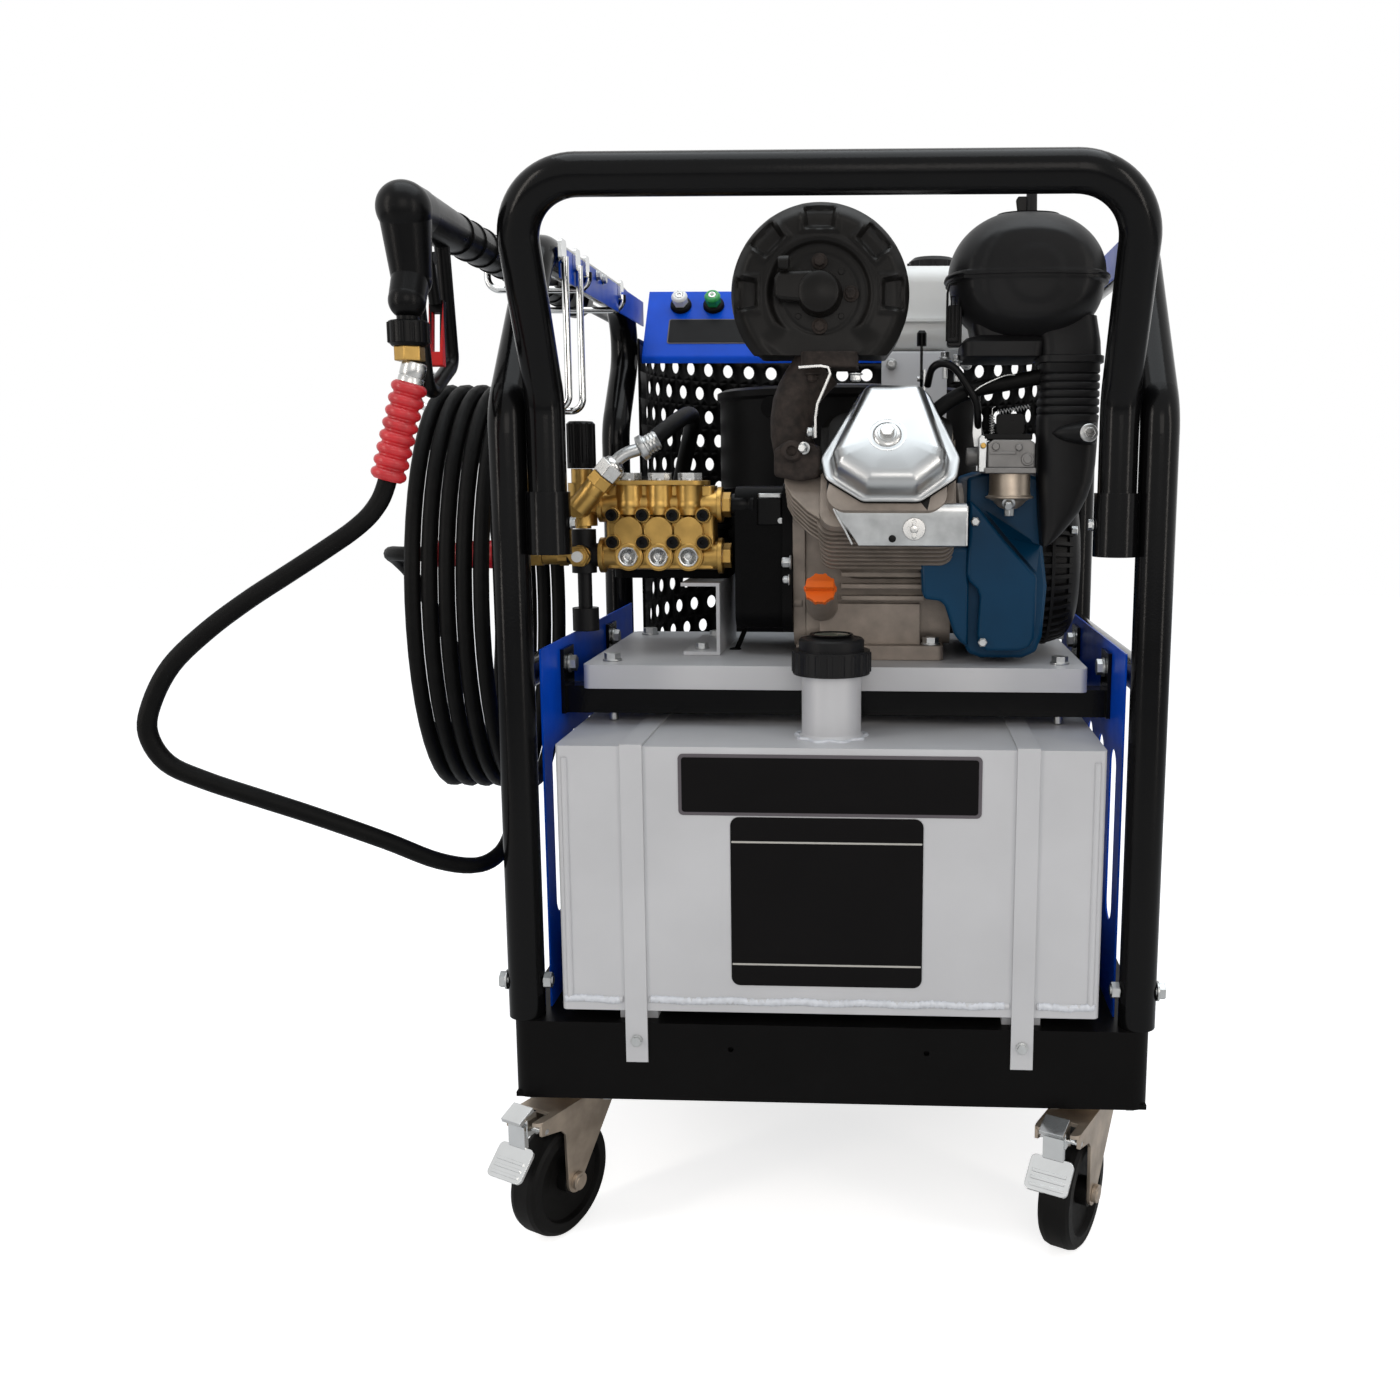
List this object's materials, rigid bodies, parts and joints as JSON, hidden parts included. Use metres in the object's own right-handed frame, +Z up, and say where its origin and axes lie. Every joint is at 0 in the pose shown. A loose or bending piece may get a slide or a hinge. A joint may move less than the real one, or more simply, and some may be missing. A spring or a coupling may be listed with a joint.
{
  "type": "hot water pressure washer",
  "caption": "Petrol-driven hot water pressure washer on castors, in a bent tube cage with handle, fuel tank, engine, pump, boiler, lance and hose hank.",
  "frame": {"origin": "on the floor under the middle of the base tray", "axes": "+Z up, +Y to the rear, +X to the right seen from the handle end"},
  "size_m": [0.9618, 1.0837, 1.115],
  "materials": {
    "black_gloss": "gloss",
    "black_satin": "satin",
    "blue_paint": "gloss",
    "silver_paint": "satin",
    "zinc": "satin",
    "cast_alloy": "matte",
    "black_plastic": "satin",
    "petrol_blue": "satin",
    "white_plastic": "satin",
    "orange_plastic": "satin",
    "red_plastic": "satin",
    "brass": "satin",
    "heat_black": "satin",
    "cast_iron": "matte",
    "chrome": "polished",
    "rubber": "matte",
    "nozzle_white": "satin",
    "nozzle_green": "satin",
    "nozzle_yellow": "satin",
    "nozzle_red": "satin"
  },
  "bodies": {
    "machine": {"base_frame": "black_satin", "side_frame_left": "black_gloss", "side_frame_right": "black_gloss", "cross_bars": "black_gloss", "handle_hoop": "black_gloss", "hex_bolts": "zinc", "side_panels": "blue_paint", "diesel_tank": "silver_paint", "tank_straps": "silver_paint", "engine_plate": "silver_paint", "rubber_mounts": "rubber", "crankcase": "cast_alloy", "rocker_cover": "chrome", "engine_brackets": "zinc", "exhaust_elbow": "cast_iron", "muffler": "heat_black", "air_cleaner_case": "black_plastic", "air_cleaner_cover": "black_plastic", "carburettor": "cast_alloy", "fan_shroud": "petrol_blue", "recoil_cover": "black_plastic", "fuel_tank": "white_plastic", "pump_gearbox": "black_satin", "pump_manifold": "brass", "pump_plugs": "zinc", "unloader_valve": "brass", "inlet_tee": "black_plastic", "pump_bracket": "silver_paint", "outlet_pipe": "zinc", "boiler": "heat_black", "rear_guard": "black_satin", "nozzle_panel": "blue_paint", "hose_hooks": "zinc", "gun_body": "black_plastic", "lance": "black_plastic", "hose_lead": "rubber", "hose_hank": "rubber", "hose_tail": "rubber", "hose_fittings": "red_plastic", "castor_brackets": "zinc"},
    "filler_cap": {"filler_cap": "black_plastic"},
    "fuel_cap": {"fuel_cap": "black_plastic"},
    "dipstick": {"dipstick": "orange_plastic"},
    "recoil_grip": {"recoil_grip": "black_plastic"},
    "flywheel": {"flywheel": "cast_alloy"},
    "throttle_lever": {"throttle_lever": "black_plastic"},
    "unloader_knob": {"unloader_knob": "black_plastic"},
    "nozzle_white": {"nozzle_white": "nozzle_white"},
    "nozzle_green": {"nozzle_green": "nozzle_green"},
    "nozzle_yellow": {"nozzle_yellow": "nozzle_yellow"},
    "nozzle_red": {"nozzle_red": "nozzle_red"},
    "gun_trigger": {"gun_trigger": "red_plastic"},
    "fork_front_left": {"fork_front_left": "zinc"},
    "fork_front_right": {"fork_front_right": "zinc"},
    "wheel_front_left": {"wheel_front_left": "rubber"},
    "wheel_front_right": {"wheel_front_right": "rubber"},
    "wheel_rear_left": {"wheel_rear_left": "rubber"},
    "wheel_rear_right": {"wheel_rear_right": "rubber"},
    "pedal_front_left": {"pedal_front_left": "chrome"},
    "pedal_front_right": {"pedal_front_right": "chrome"}
  },
  "joints": [
    {"name": "filler_cap_turn", "type": "hinge", "parent": "machine", "child": "filler_cap", "pos_m": [0, -0.399, 0.624], "axis": [0, 0, 1], "range_deg": [0, 300]},
    {"name": "fuel_cap_turn", "type": "hinge", "parent": "machine", "child": "fuel_cap", "pos_m": [0.112, -0.006, 1.078], "axis": [0, 0, 1], "range_deg": [0, 120]},
    {"name": "dipstick_turn", "type": "hinge", "parent": "machine", "child": "dipstick", "pos_m": [-0.015, -0.331, 0.695], "axis": [0, -0.866, 0.5], "range_deg": [0, 300]},
    {"name": "recoil_pull", "type": "slide", "parent": "machine", "child": "recoil_grip", "axis": [1, 0, 0], "range_m": [0, 0.6], "stiffness_N_per_m": 25},
    {"name": "crankshaft_spin", "type": "hinge", "parent": "machine", "child": "flywheel", "pos_m": [0, -0.213, 0.721], "axis": [1, 0, 0], "continuous": true},
    {"name": "throttle_turn", "type": "hinge", "parent": "machine", "child": "throttle_lever", "pos_m": [0.0935, -0.236, 0.925], "axis": [1, 0, 0], "range_deg": [-20, 25]},
    {"name": "pressure_turn", "type": "hinge", "parent": "machine", "child": "unloader_knob", "pos_m": [-0.2872, -0.267, 0.825], "axis": [0, 0, 1], "range_deg": [-270, 270]},
    {"name": "nozzle_white_pull", "type": "slide", "parent": "machine", "child": "nozzle_white", "axis": [0, -0.809, 0.5878], "range_m": [0, 0.06]},
    {"name": "nozzle_green_pull", "type": "slide", "parent": "machine", "child": "nozzle_green", "axis": [0, -0.809, 0.5878], "range_m": [0, 0.06]},
    {"name": "nozzle_yellow_pull", "type": "slide", "parent": "machine", "child": "nozzle_yellow", "axis": [0, -0.809, 0.5878], "range_m": [0, 0.06]},
    {"name": "nozzle_red_pull", "type": "slide", "parent": "machine", "child": "nozzle_red", "axis": [0, -0.809, 0.5878], "range_m": [0, 0.06]},
    {"name": "trigger_pull", "type": "hinge", "parent": "machine", "child": "gun_trigger", "pos_m": [-0.379, -0.475, 1.021], "axis": [1, 0, 0], "range_deg": [-9, 0], "stiffness_Nm_per_rad": 1.5, "springref_deg": 2.86},
    {"name": "castor_swivel_left", "type": "hinge", "parent": "machine", "child": "fork_front_left", "pos_m": [-0.278, -0.394, 0.15], "axis": [0, 0, 1], "continuous": true},
    {"name": "castor_swivel_right", "type": "hinge", "parent": "machine", "child": "fork_front_right", "pos_m": [0.278, -0.394, 0.15], "axis": [0, 0, 1], "continuous": true},
    {"name": "wheel_spin_front_left", "type": "hinge", "parent": "fork_front_left", "child": "wheel_front_left", "pos_m": [-0.29525, -0.42786, 0.0625], "axis": [0.891, -0.454, 0], "continuous": true},
    {"name": "pedal_press_left", "type": "hinge", "parent": "fork_front_left", "child": "pedal_front_left", "pos_m": [-0.31523, -0.46706, 0.1387], "axis": [0.891, -0.454, 0], "range_deg": [0, 9]},
    {"name": "wheel_spin_front_right", "type": "hinge", "parent": "fork_front_right", "child": "wheel_front_right", "pos_m": [0.26075, -0.42786, 0.0625], "axis": [0.891, -0.454, 0], "continuous": true},
    {"name": "pedal_press_right", "type": "hinge", "parent": "fork_front_right", "child": "pedal_front_right", "pos_m": [0.24077, -0.46706, 0.1387], "axis": [0.891, -0.454, 0], "range_deg": [0, 9]},
    {"name": "wheel_spin_rear_left", "type": "hinge", "parent": "machine", "child": "wheel_rear_left", "pos_m": [-0.278, 0.394, 0.0625], "axis": [1, 0, 0], "continuous": true},
    {"name": "wheel_spin_rear_right", "type": "hinge", "parent": "machine", "child": "wheel_rear_right", "pos_m": [0.278, 0.394, 0.0625], "axis": [1, 0, 0], "continuous": true}
  ]
}
